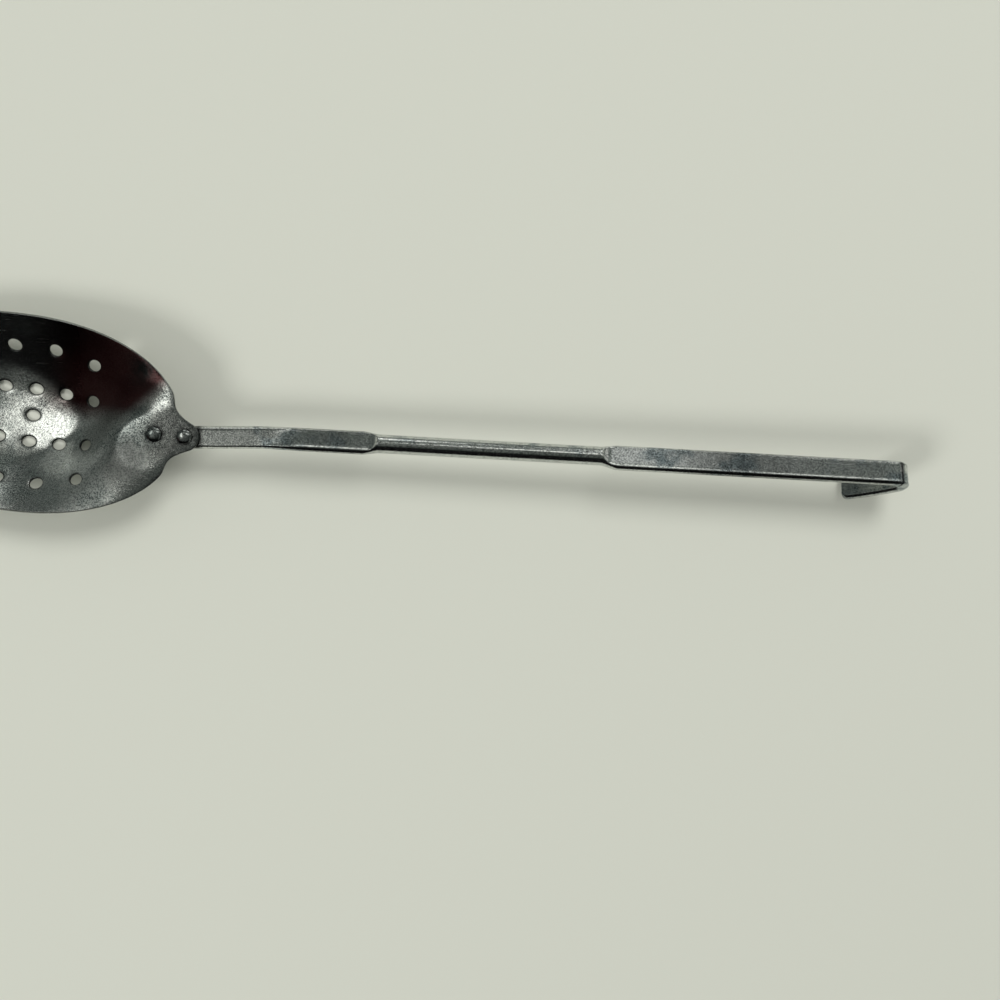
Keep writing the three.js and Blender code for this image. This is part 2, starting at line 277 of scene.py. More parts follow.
def make_mesh(name, points, faces, smooth=True):
    mesh = bpy.data.meshes.new(name)
    mesh.from_pydata((np.asarray(points) * MM).tolist(), [], faces)
    mesh.validate()
    mesh.polygons.foreach_set("use_smooth", [smooth] * len(mesh.polygons))
    piece = bpy.data.objects.new(name, mesh)
    bpy.context.scene.collection.objects.link(piece)
    return piece


def set_attribute(piece, name, values):
    layer = piece.data.attributes.new(name, "FLOAT", "POINT")
    layer.data.foreach_set("value", np.asarray(values, dtype=np.float32))


# Bowl

def oval_point(angle):
    c = math.cos(angle)
    s = max(math.sin(angle), 0)
    return np.array((
        BOWL_HALF_LENGTH * math.copysign(abs(c) ** (2 / OVAL_POWER), c),
        BOWL_HALF_WIDTH * s ** (2 / OVAL_POWER),
    ))


def bezier(start, start_pull, end_pull, end, t):
    t = t[:, None]
    return (
        (1 - t) ** 3 * start
        + 3 * (1 - t) ** 2 * t * start_pull
        + 3 * (1 - t) * t ** 2 * end_pull
        + t ** 3 * end
    )


def half_outline():
    """From the end of the tongue to the tip of the bowl, on the side where v is positive."""
    angles = np.linspace(0, TONGUE_ARC_END, TONGUE_ARC_POINTS, endpoint=False)
    arc = np.stack((
        REAR_RIVET_U + TONGUE_END_RADIUS * np.cos(angles),
        TONGUE_END_RADIUS * np.sin(angles),
    ), axis=1)
    arc_end = np.array((
        REAR_RIVET_U + TONGUE_END_RADIUS * math.cos(TONGUE_ARC_END),
        TONGUE_END_RADIUS * math.sin(TONGUE_ARC_END),
    ))
    shoulder_angle = math.asin((SHOULDER_HALF_WIDTH / BOWL_HALF_WIDTH) ** (OVAL_POWER / 2))
    shoulder = oval_point(shoulder_angle)
    along_arc = np.array((-math.sin(TONGUE_ARC_END), math.cos(TONGUE_ARC_END)))
    along_oval = oval_point(shoulder_angle + ANGLE_STEP) - shoulder
    along_oval /= np.linalg.norm(along_oval)
    neck = bezier(
        arc_end,
        arc_end + along_arc * NECK_PULL,
        shoulder - along_oval * NECK_PULL / 2,
        shoulder,
        np.linspace(0, 1, NECK_POINTS, endpoint=False),
    )
    oval_angles = np.linspace(shoulder_angle, math.pi, OVAL_POINTS)
    oval = np.array([oval_point(angle) for angle in oval_angles])
    return np.concatenate((arc, neck, oval))


def evenly(loop, spacing):
    """The closed loop again, with points at even distances."""
    closed = np.concatenate((loop, loop[:1]))
    lengths = np.linalg.norm(np.diff(closed, axis=0), axis=1)
    along = np.concatenate(((0,), np.cumsum(lengths)))
    count = int(along[-1] / spacing)
    places = np.linspace(0, along[-1], count, endpoint=False)
    return np.stack([np.interp(places, along, closed[:, k]) for k in range(2)], axis=1)


def bowl_outline(spacing):
    half = half_outline()
    mirrored = half[1:-1][::-1] * (1, -1)
    return evenly(np.concatenate((half, mirrored)), spacing)


def outward(loop):
    """Unit directions that point out of a loop drawn anticlockwise."""
    along = np.roll(loop, -1, axis=0) - np.roll(loop, 1, axis=0)
    normals = np.stack((along[:, 1], -along[:, 0]), axis=1)
    return normals / np.linalg.norm(normals, axis=1, keepdims=True)


def drain_holes():
    places = [(0.0, 0.0)]
    for row in (INNER_ROW, OUTER_ROW):
        for i in range(row["count"]):
            u = (i - (row["count"] - 1) / 2) * row["spacing"]
            v = row["offset"] - row["sag"] * u * u
            places += [(u, v), (u, -v)]
    return [(u, v, HOLE_LENGTH / 2, HOLE_WIDTH / 2) for u, v in places]


def rivet_holes():
    radius = SHANK_RADIUS + SHANK_CLEARANCE
    return [
        (REAR_RIVET_U, 0.0, radius, radius),
        (FRONT_RIVET_U, FRONT_RIVET_SIDE, radius, radius),
    ]


def from_hole(points, hole):
    """Rough distance from the edge of an oval hole, negative inside it."""
    u, v, half_length, half_width = hole
    reach = np.hypot((points[:, 0] - u) / half_length, (points[:, 1] - v) / half_width)
    return (reach - 1) * math.sqrt(half_length * half_width)


def waves(points):
    """Gentle unevenness between -1 and 1, made of a few crossed waves."""
    total = np.zeros(len(points))
    for i in range(WAVE_COUNT):
        angle = WAVE_SEED + WAVE_TURN * i
        length = WAVE_LENGTH * (1 + WAVE_STRETCH * i) / 2
        across = points[:, 0] * math.cos(angle) + points[:, 1] * math.sin(angle)
        total += np.sin(2 * math.pi * across / length + WAVE_SEED * 3 * i)
    return total / WAVE_COUNT


def inner_height(points):
    """Height of the inside of the bowl above the table."""
    u = points[:, 0]
    v = points[:, 1]
    along = (u / BOWL_HALF_LENGTH) ** 2
    across = (v / BOWL_HALF_WIDTH) ** 2
    reach = np.maximum(along + across, 1e-9)
    cup = SHEET + (BOWL_DEPTH - SIDE_DIP * across / reach) * reach ** (CUP_POWER / 2)
    left = smooth_step(v / NOSE_SIDE_FADE + 0.5)
    spread = mix(NOSE_SPREAD_RIGHT, NOSE_SPREAD_LEFT, left)
    wall_top = NOSE_START + spread * np.sqrt(v * v + NOSE_ROUNDNESS ** 2)
    foot_spread = mix(WALL_SPREAD_RIGHT, WALL_SPREAD_LEFT, left)
    wall_foot = WALL_START - foot_spread * v * v / (1 + (v / WALL_SPREAD_REACH) ** 2)
    run = np.clip((u - wall_foot) / (wall_top - wall_foot), 0, RUN_LIMIT)
    half_width = mix(TONGUE_RIGHT_WIDTH, TONGUE_LEFT_WIDTH, left)
    beside = smooth_step((np.abs(v) - half_width) / TONGUE_FADE)
    shoulder_lift = mix(SHOULDER_RIGHT_LIFT, SHOULDER_LEFT_LIFT, left)
    wall_height = TONGUE_TOP + shoulder_lift * beside
    wall = cup + np.maximum(wall_height - cup, 0) * run ** WALL_POWER
    wall += OVERSHOOT_RISE * (1 - beside) * np.maximum(run - 1, 0)
    before_top = np.clip(1 - (u - wall_top) / DROOP_LENGTH, 0, DROOP_LIMIT)
    droop = NOSE_DROOP * left * before_top ** 2
    roof = wall_height - droop + ROOF_LIFT * (1 - smooth_step(run))
    height = soft_min(wall, roof, FOLD_SOFTNESS)
    height += (FLOOR_LIFT + WAVE_HEIGHT * waves(points)) * (1 - smooth_step(run))
    for hole in drain_holes():
        away = np.maximum(from_hole(points, hole), 0)
        height -= HOLE_SINK * np.exp(-away / HOLE_SINK_REACH)
    return height


def sheet_points(points, depth):
    """Places at some depth below the inside of the sheet, square to it."""
    height = inner_height(points)
    slopes = []
    for k in range(2):
        shift = np.zeros(2)
        shift[k] = SLOPE_STEP
        climb = inner_height(points + shift) - inner_height(points - shift)
        slopes.append(climb / (2 * SLOPE_STEP))
    normal = np.stack((-slopes[0], -slopes[1], np.ones(len(points))), axis=1)
    normal /= np.linalg.norm(normal, axis=1, keepdims=True)
    depth = np.broadcast_to(np.asarray(depth, dtype=float), (len(points),))
    return np.column_stack((points, height)) - normal * depth[:, None]


def from_bowl(places):
    """From the bowl's own frame to the frame of the part."""
    angle = KINK - BOWL_TURN
    u = places[:, 0] - REAR_RIVET_U
    v = places[:, 1]
    return np.stack((
        rear_rivet_place.x + u * math.cos(angle) - v * math.sin(angle),
        rear_rivet_place.y + u * math.sin(angle) + v * math.cos(angle),
        places[:, 2],
    ), axis=1)


def grid_points(outline, holes):
    """Points of a triangular grid inside the outline and clear of the holes."""
    row_height = math.sqrt(0.75)
    rows = int(2 * BOWL_HALF_WIDTH / (GRID_SPACING * row_height)) + 2
    columns = int(2 * TONGUE_END / GRID_SPACING) + 2
    points = []
    for j in range(rows):
        for i in range(columns):
            points.append((
                -TONGUE_END + (i + 0.5 * (j % 2)) * GRID_SPACING,
                -BOWL_HALF_WIDTH + j * GRID_SPACING * row_height,
            ))
    points = np.array(points)
    keep = inside(points, outline)
    for u, v in outline:
        keep &= np.hypot(points[:, 0] - u, points[:, 1] - v) > GRID_MARGIN
    for hole in holes:
        keep &= from_hole(points, hole) > GRID_MARGIN
    return points[keep]


def inside(points, outline):
    """Whether each point lies inside the closed outline."""
    after = np.roll(outline, -1, axis=0)
    crossings = np.zeros(len(points), dtype=int)
    for (u0, v0), (u1, v1) in zip(outline, after):
        spans = (points[:, 1] < v0) != (points[:, 1] < v1)
        with np.errstate(divide="ignore", invalid="ignore"):
            cross_u = u0 + (points[:, 1] - v0) * (u1 - u0) / (v1 - v0)
        crossings += spans & (points[:, 0] < cross_u)
    return crossings % 2 == 1


def oval_loop(hole, grow):
    """Points round an oval hole, some way outside its edge."""
    u, v, half_length, half_width = hole
    angles = np.linspace(0, 2 * math.pi, HOLE_POINTS, endpoint=False)
    return np.stack((
        u + (half_length + grow) * np.cos(angles),
        v + (half_width + grow) * np.sin(angles),
    ), axis=1)


def edge_rings(loop, direction, rounding):
    """Rings of points round a cut edge, from the inside of the sheet to its outside."""
    rings = []
    for i in range(EDGE_STEPS + 1):
        angle = math.pi / 2 * i / EDGE_STEPS
        rings.append((
            loop + direction * rounding * math.sin(angle),
            rounding * (1 - math.cos(angle)),
        ))
    lower = [(points, SHEET - depth) for points, depth in reversed(rings)]
    return rings + lower


def triangulate(loops, extra_points, holes):
    """Triangles between the rim, the first loop, and the holes, and the new number of each point."""
    flat = []
    edges = []
    for loop in loops:
        start = len(flat)
        flat += [tuple(p) for p in loop]
        edges += [(start + i, start + (i + 1) % len(loop)) for i in range(len(loop))]
    flat += [tuple(p) for p in extra_points]
    rim_face = [list(range(len(loops[0])))]
    corners = [Vector(p) for p in flat]
    result = delaunay_2d_cdt(corners, edges, rim_face, INSIDE_ONLY, MERGE_DISTANCE)
    points = np.array([tuple(p) for p in result[0]])
    numbers = {}
    for new, olds in enumerate(result[3]):
        for old in olds:
            numbers[old] = new
    triangles = np.array(result[2])
    middles = points[triangles].mean(axis=1)
    keep = np.ones(len(triangles), dtype=bool)
    for u, v, half_length, half_width in holes:
        wide = (u, v, half_length + HOLE_ROUNDING, half_width + HOLE_ROUNDING)
        keep &= from_hole(middles, wide) > 0
    return points, triangles[keep], numbers


def bowl_piece():
    outline = bowl_outline(OUTLINE_SPACING)
    rim_direction = outward(outline)
    rim = outline - rim_direction * RIM_ROUNDING
    holes = drain_holes() + rivet_holes()
    loops = [rim] + [oval_loop(hole, HOLE_ROUNDING) for hole in holes]
    rings = [oval_loop(hole, HOLE_ROUNDING + HOLE_RING_GAP) for hole in holes]
    grid = grid_points(rim, holes)
    points, triangles, numbers = triangulate(loops, np.concatenate(rings + [grid]), holes)

    vertices = [sheet_points(points, 0), sheet_points(points, SHEET)]
    count = len(points)
    total = 2 * count
    faces = [tuple(t) for t in triangles]
    faces += [(c + count, b + count, a + count) for a, b, c in triangles]
    edge_mask = [np.zeros(2 * count)]

    start = 0
    for k, loop in enumerate(loops):
        size = len(loop)
        first = [numbers[start + i] for i in range(size)]
        start += size
        direction = rim_direction if k == 0 else -outward(loop)
        rounding = RIM_ROUNDING if k == 0 else HOLE_ROUNDING
        previous = first
        for ring_points, depth in edge_rings(loop, direction, rounding)[1:-1]:
            vertices.append(sheet_points(ring_points, depth))
            edge_mask.append(np.ones(size))
            current = list(range(total, total + size))
            faces += bridge(previous, current, k > 0)
            previous = current
            total += size
        faces += bridge(previous, [i + count for i in first], k > 0)

    places = np.concatenate(vertices)
    piece = make_mesh("bowl_sheet", from_bowl(places), faces)
    set_attribute(piece, "cut_edge", np.concatenate(edge_mask))
    wear_and_shade_bowl(piece, places, slice(count, 2 * count))
    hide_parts("bowl")
    return piece


def wear_and_shade_bowl(piece, places, outside):
    """Grime with painted shade, dull areas, and the painted dark reflection, which isn't on the
    outside of the sheet.
    """
    u = places[:, 0]
    v = places[:, 1]
    near_hole = np.full(len(places), FAR)
    for hole in drain_holes():
        near_hole = np.minimum(near_hole, np.abs(from_hole(places, hole)))
    near_rivet = np.full(len(places), FAR)
    for rivet_u, rivet_v, _, _ in rivet_holes():
        reach = np.hypot(u - rivet_u, v - rivet_v) - HEAD_RADIUS
        near_rivet = np.minimum(near_rivet, np.abs(reach))
    beyond = (u - WORN_PLACE) / WORN_LENGTH
    beside = v / WORN_WIDTH
    worn = WORN_STRENGTH * np.exp(-beyond ** 4 - beside ** 4)
    dark_reflection_away = np.hypot(u - DARK_REFLECTION_SPOT[0], v - DARK_REFLECTION_SPOT[1])
    dirt_and_shade = np.max([
        worn,
        # Grime with painted shadow and painted dark reflection round the holes
        HOLE_DIRT_AND_SHADE * np.exp(-(near_hole / HOLE_DIRT_AND_SHADE_REACH) ** 2),
        # Painted shade ring round each rivet head
        np.exp(-(near_rivet / RIVET_RING_SHADE_REACH) ** 2),
        # Darkest spot of the painted dark reflection, beside the rim
        np.exp(-(dark_reflection_away / DARK_REFLECTION_SPOT_REACH) ** 2),
    ], axis=0)
    dullness = np.exp(-((u - STRETCHED_PLACE) / STRETCHED_LENGTH) ** 4)
    for spot_u, spot_v, spot_reach, darkness in DULL_SPOTS:
        away = np.hypot(u - spot_u, v - spot_v)
        spot = np.exp(-(away / spot_reach) ** 4)
        dullness = np.maximum(dullness, spot)
        # Painted shade on the dull spots that have a darkness
        dirt_and_shade = np.maximum(dirt_and_shade, darkness * spot)
    set_attribute(piece, "dullness", dullness)
    set_attribute(piece, "dirt_and_shade", dirt_and_shade)
    # Painted dark reddish reflection across the far wall, on the inside of the sheet only
    painted_dark_reflection = smooth_step((v - DARK_REFLECTION_START) / DARK_REFLECTION_FADE)
    painted_dark_reflection *= smooth_step((u - DARK_REFLECTION_LEFT) / DARK_REFLECTION_LENGTH)
    painted_dark_reflection *= smooth_step((DARK_REFLECTION_RIGHT + v - u) / DARK_REFLECTION_FADE)
    painted_dark_reflection[outside] = 0
    set_attribute(piece, "painted_dark_reflection", painted_dark_reflection)


def bridge(first, second, flipped):
    """Faces between two rings of points."""
    faces = []
    size = len(first)
    for i in range(size):
        j = (i + 1) % size
        quad = (first[i], second[i], second[j], first[j])
        faces.append(quad if not flipped else quad[::-1])
    return faces


# Handle

def leg_place(share):
    """Place along the bar, height and turn at a share of the hook's leg."""
    curve = LEG_LENGTH / LEG_TURN
    turn = BEND_TURN + LEG_TURN * share
    start_x = BEND_X + BEND_RADIUS * math.sin(BEND_TURN)
    start_up = -BEND_RADIUS * (1 - math.cos(BEND_TURN))
    return (
        start_x + curve * (math.sin(turn) - math.sin(BEND_TURN)),
        start_up + curve * (math.cos(turn) - math.cos(BEND_TURN)),
        turn,
    )


def bar_sizes(x):
    """Half width, clip height, half roundness and side shift of the bar at a place along it."""
    neck_width = mix(TONGUE_BAR_WIDTH, NECK_WIDTH, smooth_step(x / TWIST_END))
    blend_length = SHOULDER_LENGTH + SHOULDER_BLEND
    to_rod = smooth_step((x - NECK_FLAT_END + SHOULDER_BLEND) / blend_length)
    to_flat = smooth_step((x - ROD_END) / blend_length)
    width = mix(mix(neck_width, ROD_DIAMETER, to_rod), FLAT_WIDTH, to_flat)
    roundness = mix(mix(NECK_ROUNDNESS, ROD_DIAMETER, to_rod), FLAT_ROUNDNESS, to_flat)
    past_neck = max(x - NECK_FLAT_END, 0) / RAMP_LENGTH
    before_flat = max(FLAT_START - x, 0) / RAMP_LENGTH
    clip = min(
        mix(NECK_THICKNESS, ROD_DIAMETER, past_neck ** 2),
        mix(FLAT_THICKNESS, ROD_DIAMETER, before_flat ** 2),
    ) / 2
    return width / 2, clip, roundness / 2, FLAT_SIDE * to_flat


def wander(x):
    """A slow unevenness along the bar, between -1 and 1."""
    waves_there = [math.sin(x / length + (i + 1)) for i, length in enumerate(WANDER_LENGTHS)]
    return sum(waves_there) / len(WANDER_LENGTHS)


def bar_ring(x, up, turn, inset, shrink, sizes_x):
    """One ring of the bar: an ellipse pressed flat above and below, with a low lip at its edges."""
    half_width, clip, half_round, side = bar_sizes(sizes_x)
    half_width = half_width - inset
    clip = clip * shrink
    angles = np.linspace(0, 2 * math.pi, RING_POINTS, endpoint=False)
    across = half_width * np.cos(angles)
    raised = half_round * np.sin(angles)
    lip = 0
    if clip < half_round:
        crease = half_width * math.sqrt(1 - (clip / half_round) ** 2)
        lip = LIP_HEIGHT * np.minimum(np.abs(across) / crease, LIP_LIMIT) ** LIP_POWER
        lip -= LIP_HEIGHT / 2
    top = clip + lip + WANDER_HEIGHT * wander(sizes_x)
    limited = soft_min(np.abs(raised), top + np.zeros(RING_POINTS), CREASE_SOFTNESS)
    raised = np.sign(raised) * np.maximum(limited, 0)
    return np.stack((
        x + raised * math.sin(turn),
        side + across,
        up + raised * math.cos(turn),
    ), axis=1)


def on_face(x):
    """1 on the pressed faces of a ring and 0 on its rounded sides."""
    _, clip, half_round, _ = bar_sizes(x)
    angles = np.linspace(0, 2 * math.pi, RING_POINTS, endpoint=False)
    return smooth_step((half_round * np.abs(np.sin(angles)) - clip) / FACE_FADE)


def bar_stations():
    """Place, height, turn, inset, thinning and the place whose sizes are used, for every ring."""
    stations = []
    for i in range(BAR_END_STEPS + 1):
        angle = math.pi / 2 * i / BAR_END_STEPS
        x = BAR_END_X + BAR_END_CORNER * (1 - math.cos(angle))
        inset = BAR_END_CORNER * (1 - math.sin(angle))
        thinning = 1 - BAR_END_THINNING + BAR_END_THINNING * math.sin(angle)
        stations.append((x, 0, 0, inset, thinning, x))
    x = BAR_END_X + 2 * BAR_END_CORNER
    while x < BEND_X:
        stations.append((x, 0, 0, 0, 1, x))
        shoulder = min(abs(x - ROD_START + SHOULDER_BLEND), abs(x - ROD_END - SHOULDER_BLEND))
        x += FINE_STEP if shoulder < FINE_REACH else COARSE_STEP
    for i in range(BEND_STEPS):
        turn = BEND_TURN * i / BEND_STEPS
        stations.append((
            BEND_X + BEND_RADIUS * math.sin(turn),
            -BEND_RADIUS * (1 - math.cos(turn)),
            turn, 0, 1, BEND_X,
        ))
    for i in range(LEG_STEPS + 1):
        stations.append((*leg_place(LEG_CORNER_SHARE * i / LEG_STEPS), 0, 1, BEND_X))
    for i in range(1, LEG_END_STEPS + 1):
        angle = math.pi / 2 * i / LEG_END_STEPS
        share = LEG_CORNER_SHARE + (1 - LEG_CORNER_SHARE) * math.sin(angle)
        inset = LEG_CORNER * (1 - math.cos(angle))
        thinning = 1 - LEG_END_THINNING * (1 - math.cos(angle)) ** 2
        stations.append((*leg_place(share), inset, thinning, BEND_X))
    return stations


def on_bar(points, rise):
    """From the straight bar to the real one, which is kinked, twisted and climbing."""
    twist = TWIST * smooth_step((points[:, 0] - TWIST_START) / (TWIST_END - TWIST_START))
    x = points[:, 0]
    y = points[:, 1] * np.cos(twist) + points[:, 2] * np.sin(twist)
    z = points[:, 2] * np.cos(twist) - points[:, 1] * np.sin(twist)
    before = x < 0
    turned_x = np.where(before, x * math.cos(KINK) - y * math.sin(KINK), x)
    turned_y = np.where(before, x * math.sin(KINK) + y * math.cos(KINK), y)
    z = z + AXIS_HEIGHT + np.where(before, 0, x * rise)
    return np.stack((turned_x, turned_y, z), axis=1)


def bar_dirt_and_shade(straight, stations):
    """Painted shadow beside the tongue, stretches painted darker, and painted shade across the start
    of the hook's bend.
    """
    x = straight[:, 0]
    turns = np.repeat([station[2] for station in stations], RING_POINTS)
    past_tongue = np.maximum(x + NECK_TO_KINK, 0)
    # Painted shadow under the end of the tongue
    dirt_and_shade = TONGUE_GAP_SHADOW * np.exp(-(past_tongue / TONGUE_GAP_SHADOW_REACH) ** 2)
    for middle, length, strength in DARKER_STRETCHES:
        dirt_and_shade += strength * np.exp(-((x - middle) / length) ** 4)
    # Painted shade across the start of the hook's bend
    return dirt_and_shade + np.exp(-((turns - BEND_SHADE_TURN) / BEND_SHADE_WIDTH) ** 2)


def handle_piece():
    stations = bar_stations()
    rings = [bar_ring(*station) for station in stations]
    straight = np.concatenate(rings)
    leg = straight[straight[:, 2] < -BEND_RADIUS]
    drop = leg[:, 1] * math.sin(TWIST) - leg[:, 2] * math.cos(TWIST)
    rise = float(np.max((drop - AXIS_HEIGHT) / leg[:, 0]))
    places = on_bar(straight, rise)
    places[:, 0] += kink_place.x
    places[:, 1] += kink_place.y
    faces = []
    for k in range(len(rings) - 1):
        first = [k * RING_POINTS + i for i in range(RING_POINTS)]
        second = [i + RING_POINTS for i in first]
        faces += bridge(first, second, True)
    faces.append(tuple(range(RING_POINTS)))
    last_ring = range((len(rings) - 1) * RING_POINTS, len(rings) * RING_POINTS)
    faces.append(tuple(reversed(last_ring)))
    piece = make_mesh("handle_bar", places, faces)
    set_attribute(piece, "dirt_and_shade", bar_dirt_and_shade(straight, stations))
    pressed = np.concatenate([on_face(station[-1]) for station in stations])
    set_attribute(piece, "dullness", FACE_DULLNESS * pressed)
    for name in ("cut_edge", "painted_dark_reflection"):
        set_attribute(piece, name, np.zeros(len(places)))
    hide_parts("handle")
    return piece


# Rivets

def dome(radius, height, steps):
    """Profile of a dome from its edge to its middle, as (radius, height) pairs."""
    pairs = []
    for i in range(steps + 1):
        angle = math.pi / 2 * i / steps
        pairs.append((
            radius * math.cos(angle) ** (2 / DOME_POWER),
            height * math.sin(angle) ** (2 / DOME_POWER),
        ))
    return pairs


def rivet_piece(node):
    middle = box_middle(node)
    tail_seat = HANDLE_TOP - NECK_THICKNESS
    tail = dome(TAIL_RADIUS, TAIL_HEIGHT, TAIL_STEPS)
    head = dome(HEAD_RADIUS, HEAD_HEIGHT, HEAD_STEPS)
    profile = [(radius, tail_seat - height) for radius, height in reversed(tail)]
    profile.append((SHANK_RADIUS, tail_seat))
    profile.append((SHANK_RADIUS, TONGUE_TOP))
    profile += [(radius, TONGUE_TOP + height) for radius, height in head]
    points = [(middle.x, middle.y, profile[0][1])]
    for radius, height in profile[1:-1]:
        for i in range(RIVET_SEGMENTS):
            angle = 2 * math.pi * i / RIVET_SEGMENTS
            points.append((
                middle.x + radius * math.cos(angle),
                middle.y + radius * math.sin(angle),
                height,
            ))
    points.append((middle.x, middle.y, profile[-1][1]))
    ring = range(RIVET_SEGMENTS)
    faces = [(0, 1 + (i + 1) % RIVET_SEGMENTS, 1 + i) for i in ring]
    ring_count = len(profile) - 2
    for k in range(ring_count - 1):
        first = [1 + k * RIVET_SEGMENTS + i for i in ring]
        second = [i + RIVET_SEGMENTS for i in first]
        faces += bridge(first, second, True)
    last = len(points) - 1
    base = 1 + (ring_count - 1) * RIVET_SEGMENTS
    faces += [(last, base + i, base + (i + 1) % RIVET_SEGMENTS) for i in ring]
    piece = make_mesh(f"{node}_domed", points, faces)
    heights = np.array(points)[:, 2]
    # Painted shade round the foot of the head, where it meets the tongue
    set_attribute(piece, "dirt_and_shade", np.exp(-((heights - TONGUE_TOP) / RIVET_EDGE_SHADE) ** 2))
    for name in ("cut_edge", "dullness", "painted_dark_reflection"):
        set_attribute(piece, name, np.zeros(len(points)))
    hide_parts(node)
    return piece


# Materials

def add_node(tree, kind, settings=None, inputs=None):
    node = tree.nodes.new(kind)
    for key, value in (settings or {}).items():
        setattr(node, key, value)
    for key, value in (inputs or {}).items():
        if isinstance(value, bpy.types.NodeSocket):
            tree.links.new(value, node.inputs[key])
        else:
            node.inputs[key].default_value = value
    return node


def math_node(tree, operation, first, second=0.0, third=0.0):
    inputs = {0: first, 1: second, 2: third}
    return add_node(tree, "ShaderNodeMath", {"operation": operation}, inputs).outputs[0]


def product(tree, *factors):
    """The factors multiplied together."""
    result = factors[0]
    for factor in factors[1:]:
        result = math_node(tree, "MULTIPLY", result, factor)
    return result


def noise(tree, place, scale, detail=2.0, roughness=0.5):
    return add_node(tree, "ShaderNodeTexNoise", None, {
        "Vector": place, "Scale": scale, "Detail": detail, "Roughness": roughness,
    }).outputs["Fac"]


def range_node(tree, value, low, high, to_low=0.0, to_high=1.0):
    """A smooth climb from one value to another as the input goes from low to high."""
    return add_node(tree, "ShaderNodeMapRange", {"interpolation_type": "SMOOTHSTEP"}, {
        "Value": value, "From Min": low, "From Max": high, "To Min": to_low, "To Max": to_high,
    }).outputs["Result"]


def mix_color(tree, share, first, second):
    node = add_node(tree, "ShaderNodeMix", {"data_type": "RGBA"})
    for socket, value in (("Factor_Float", share), ("A_Color", first), ("B_Color", second)):
        target = next(s for s in node.inputs if s.identifier == socket)
        if isinstance(value, bpy.types.NodeSocket):
            tree.links.new(value, target)
        else:
            target.default_value = value
    return next(s for s in node.outputs if s.identifier == "Result_Color")


def spots(tree, place, scale, share, radius, softness):
    """Round specks in a share of the cells of a random pattern."""
    cells = add_node(tree, "ShaderNodeTexVoronoi", {"feature": "F1"}, {
        "Vector": place, "Scale": scale,
    })
    cell_color = add_node(tree, "ShaderNodeSeparateColor", None, {
        "Color": cells.outputs["Color"],
    })
    chosen = math_node(tree, "LESS_THAN", cell_color.outputs["Red"], share)
    round_spot = range_node(tree, cells.outputs["Distance"], radius + softness, radius - softness)
    return product(tree, chosen, round_spot)


def worn_steel(name, color, dull_color, roughness, relief_depth):
    """Plated steel with a fine grain, pits, scratches and dull bluish patches, darkened by grime and
    painted shade, and by a painted dark reflection, from the mesh's attributes.
    """
    material = bpy.data.materials.new(name)
    material.use_nodes = True
    tree = material.node_tree
    shader = tree.nodes["Principled BSDF"]
    place = add_node(tree, "ShaderNodeTexCoord").outputs["Object"]

    clouds = noise(tree, place, 75, 4.0, 0.6)
    dull = range_node(tree, clouds, 0.5, 0.66)
    mottle = noise(tree, place, 620, 3.0, 0.6)
    grain = noise(tree, place, 2100, 3.0, 0.7)
    pits = spots(tree, place, 900, 0.4, 0.17, 0.06)
    along = add_node(tree, "ShaderNodeMapping", {"vector_type": "POINT"}, {
        "Vector": place, "Rotation": (0.2, 0.1, 0.5), "Scale": (60, 2600, 60),
    }).outputs["Vector"]
    scratches = range_node(tree, noise(tree, along, 1.0, 2.0), 0.66, 0.74)

    dirt_and_shade, cut, dullness, painted_dark_reflection = (
        add_node(tree, "ShaderNodeAttribute", {"attribute_name": name}).outputs["Fac"]
        for name in ("dirt_and_shade", "cut_edge", "dullness", "painted_dark_reflection")
    )

    surface = mix_color(tree, dull, color, dull_color)
    dusk_depth = math_node(tree, "MULTIPLY_ADD", dull, 0.35, 0.5)
    dusk = product(tree, range_node(tree, grain, 0.45, 0.57), dusk_depth)
    surface = mix_color(tree, dusk, surface, (0.06, 0.075, 0.08, 1))
    surface = mix_color(tree, product(tree, pits, 0.8), surface, (0.03, 0.035, 0.035, 1))
    # Painted dark reddish reflection on the bowl's far wall
    surface = mix_color(tree, product(tree, painted_dark_reflection, 0.96), surface, (0.05, 0.010, 0.011, 1))
    surface = mix_color(tree, cut, surface, (0.24, 0.25, 0.24, 1))
    blotches = range_node(tree, mottle, 0.38, 0.58, 0.75, 1.0)
    # Grime and painted shade from the mesh's attribute, broken up by blotches
    surface = mix_color(tree, product(tree, dirt_and_shade, blotches), surface, (0.012, 0.014, 0.014, 1))
    tree.links.new(surface, shader.inputs["Base Color"])

    shine = math_node(tree, "MULTIPLY_ADD", dull, 0.08, roughness)
    shine = math_node(tree, "MULTIPLY_ADD", mottle, 0.10, shine)
    shine = math_node(tree, "MULTIPLY_ADD", scratches, 0.12, shine)
    shine = math_node(tree, "MULTIPLY_ADD", dullness, 0.22, shine)
    tree.links.new(shine, shader.inputs["Roughness"])
    shader.inputs["Metallic"].default_value = 1.0

    relief = math_node(tree, "MULTIPLY_ADD", mottle, 1.5, grain)
    relief = math_node(tree, "MULTIPLY_ADD", pits, -0.8, relief)
    relief = math_node(tree, "MULTIPLY_ADD", scratches, -0.4, relief)
    bump = add_node(tree, "ShaderNodeBump", None, {
        "Strength": 1.0, "Distance": relief_depth * MM, "Height": relief,
    })
    tree.links.new(bump.outputs["Normal"], shader.inputs["Normal"])
    return material


def give(piece, material):
    piece.data.materials.clear()
    piece.data.materials.append(material)
    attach(piece, "root")


# Stage

